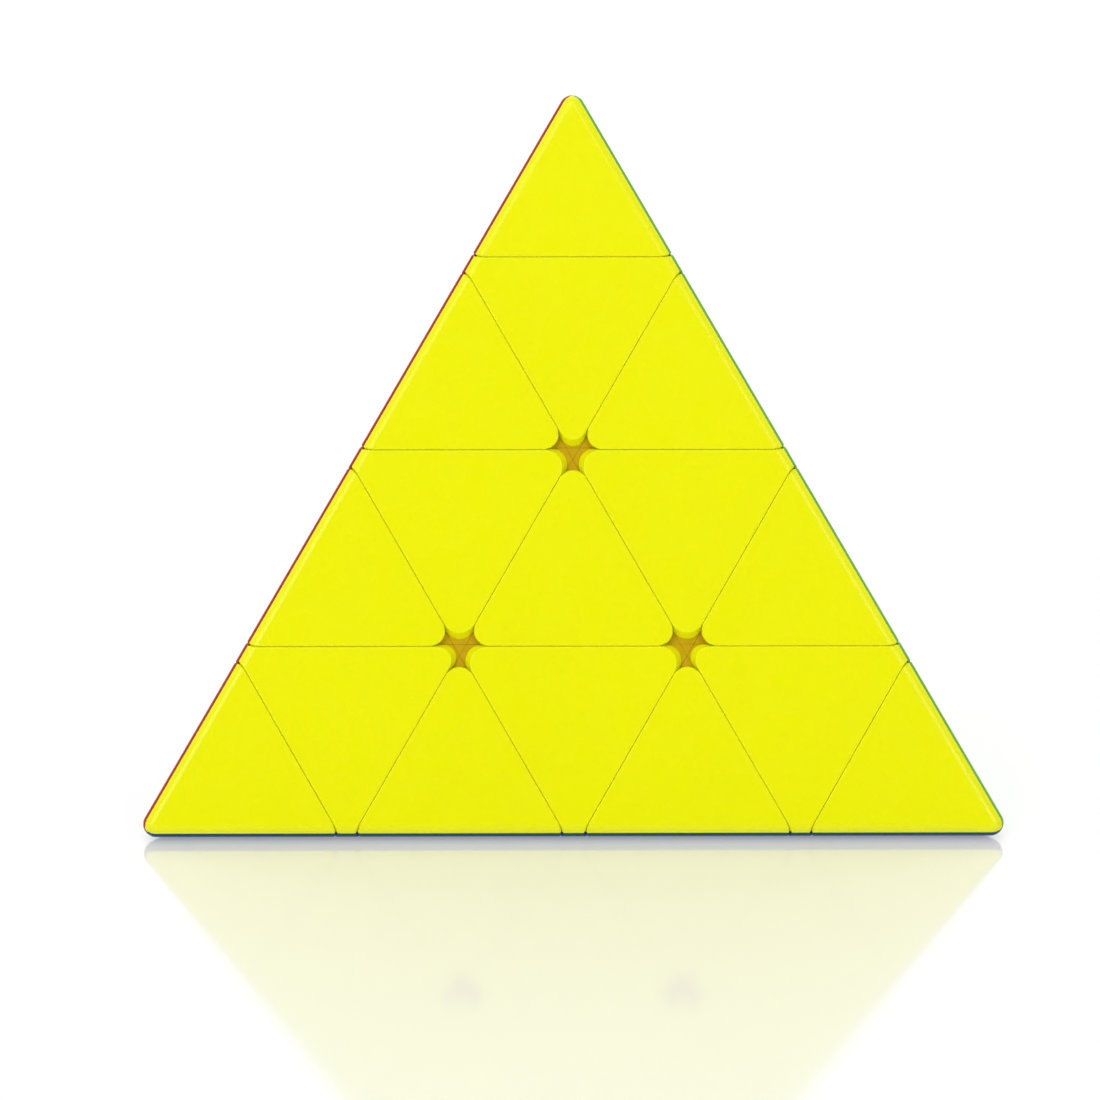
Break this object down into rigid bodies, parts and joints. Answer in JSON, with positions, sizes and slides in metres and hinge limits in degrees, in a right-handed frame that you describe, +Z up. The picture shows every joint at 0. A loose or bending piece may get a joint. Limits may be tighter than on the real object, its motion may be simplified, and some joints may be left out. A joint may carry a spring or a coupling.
{
  "type": "pyramid twisty puzzle",
  "caption": "Tetrahedral twisty puzzle whose tips, corner layers and upper block turn about axes through a sprung central core.",
  "frame": {"origin": "middle of the bottom outer face, below the core", "axes": "+Z up to the top corner, front face towards -Y, +X to the right of someone who looks at the front face"},
  "size_m": [0.1152, 0.1002, 0.0944],
  "materials": {
    "yellow_plastic": "satin moulded, coloured through",
    "red_plastic": "satin moulded, coloured through",
    "green_plastic": "satin moulded, coloured through",
    "blue_plastic": "satin moulded, coloured through",
    "inner_plastic": "fine matt, greased",
    "steel": "plated"
  },
  "bodies": {
    "base_block": {"core": "inner_plastic", "screw_top": "steel", "spring_top": "steel", "washer_top": "steel", "screw_left": "steel", "spring_left": "steel", "washer_left": "steel", "screw_right": "steel", "spring_right": "steel", "washer_right": "steel", "screw_back": "steel", "spring_back": "steel", "washer_back": "steel", "collar_left": "inner_plastic", "collar_right": "inner_plastic", "collar_back": "inner_plastic", "middle_left_right": "yellow_plastic", "middle_left_back": "red_plastic", "middle_right_back": "green_plastic", "face_bottom": "blue_plastic"},
    "upper_block": {"collar_top": "inner_plastic", "middle_top_left": "yellow_plastic", "middle_top_right": "yellow_plastic", "middle_top_back": "red_plastic", "face_front": "yellow_plastic", "face_left": "red_plastic", "face_right": "green_plastic"},
    "top_layer": {"corner_top": "yellow_plastic", "cap_top": "inner_plastic", "edge_top_to_left": "yellow_plastic", "edge_top_to_right": "yellow_plastic", "edge_top_to_back": "red_plastic"},
    "left_layer": {"corner_left": "yellow_plastic", "cap_left": "inner_plastic", "edge_left_to_right": "yellow_plastic", "edge_left_to_back": "red_plastic"},
    "left_upper_edge": {"edge_left_to_top": "yellow_plastic"},
    "right_layer": {"corner_right": "yellow_plastic", "cap_right": "inner_plastic", "edge_right_to_left": "yellow_plastic", "edge_right_to_back": "green_plastic"},
    "right_upper_edge": {"edge_right_to_top": "yellow_plastic"},
    "back_layer": {"corner_back": "red_plastic", "cap_back": "inner_plastic", "edge_back_to_left": "red_plastic", "edge_back_to_right": "green_plastic"},
    "back_upper_edge": {"edge_back_to_top": "red_plastic"},
    "top_tip": {"tip_top": "yellow_plastic", "tip_screw_top": "steel"},
    "left_tip": {"tip_left": "yellow_plastic", "tip_screw_left": "steel"},
    "right_tip": {"tip_right": "yellow_plastic", "tip_screw_right": "steel"},
    "back_tip": {"tip_back": "red_plastic", "tip_screw_back": "steel"}
  },
  "joints": [
    {"name": "three_layer_turn", "type": "hinge", "parent": "base_block", "child": "upper_block", "pos_m": [0, 0, 0.02449], "axis": [0, 0, 1], "range_deg": [-120, 120]},
    {"name": "top_layer_turn", "type": "hinge", "parent": "upper_block", "child": "top_layer", "pos_m": [0, 0, 0.02449], "axis": [0, 0, 1], "continuous": true},
    {"name": "left_layer_turn", "type": "hinge", "parent": "base_block", "child": "left_layer", "pos_m": [0, 0, 0.02449], "axis": [-0.8165, -0.4714, -0.3333], "continuous": true},
    {"name": "right_layer_turn", "type": "hinge", "parent": "base_block", "child": "right_layer", "pos_m": [0, 0, 0.02449], "axis": [0.8165, -0.4714, -0.3333], "continuous": true},
    {"name": "back_layer_turn", "type": "hinge", "parent": "base_block", "child": "back_layer", "pos_m": [0, 0, 0.02449], "axis": [0, 0.9428, -0.3333], "continuous": true},
    {"name": "top_tip_turn", "type": "hinge", "parent": "top_layer", "child": "top_tip", "pos_m": [0, 0, 0.02449], "axis": [0, 0, 1], "continuous": true},
    {"name": "left_tip_turn", "type": "hinge", "parent": "left_layer", "child": "left_tip", "pos_m": [0, 0, 0.02449], "axis": [-0.8165, -0.4714, -0.3333], "continuous": true},
    {"name": "right_tip_turn", "type": "hinge", "parent": "right_layer", "child": "right_tip", "pos_m": [0, 0, 0.02449], "axis": [0.8165, -0.4714, -0.3333], "continuous": true},
    {"name": "back_tip_turn", "type": "hinge", "parent": "back_layer", "child": "back_tip", "pos_m": [0, 0, 0.02449], "axis": [0, 0.9428, -0.3333], "continuous": true},
    {"name": "left_upper_edge_turn", "type": "hinge", "parent": "upper_block", "child": "left_upper_edge", "pos_m": [0, 0, 0.02449], "axis": [-0.8165, -0.4714, -0.3333], "continuous": true},
    {"name": "right_upper_edge_turn", "type": "hinge", "parent": "upper_block", "child": "right_upper_edge", "pos_m": [0, 0, 0.02449], "axis": [0.8165, -0.4714, -0.3333], "continuous": true},
    {"name": "back_upper_edge_turn", "type": "hinge", "parent": "upper_block", "child": "back_upper_edge", "pos_m": [0, 0, 0.02449], "axis": [0, 0.9428, -0.3333], "continuous": true}
  ],
  "couplings": [
    {"joint": "left_upper_edge_turn", "follows": "left_layer_turn", "ratio": 1},
    {"joint": "right_upper_edge_turn", "follows": "right_layer_turn", "ratio": 1},
    {"joint": "back_upper_edge_turn", "follows": "back_layer_turn", "ratio": 1}
  ]
}
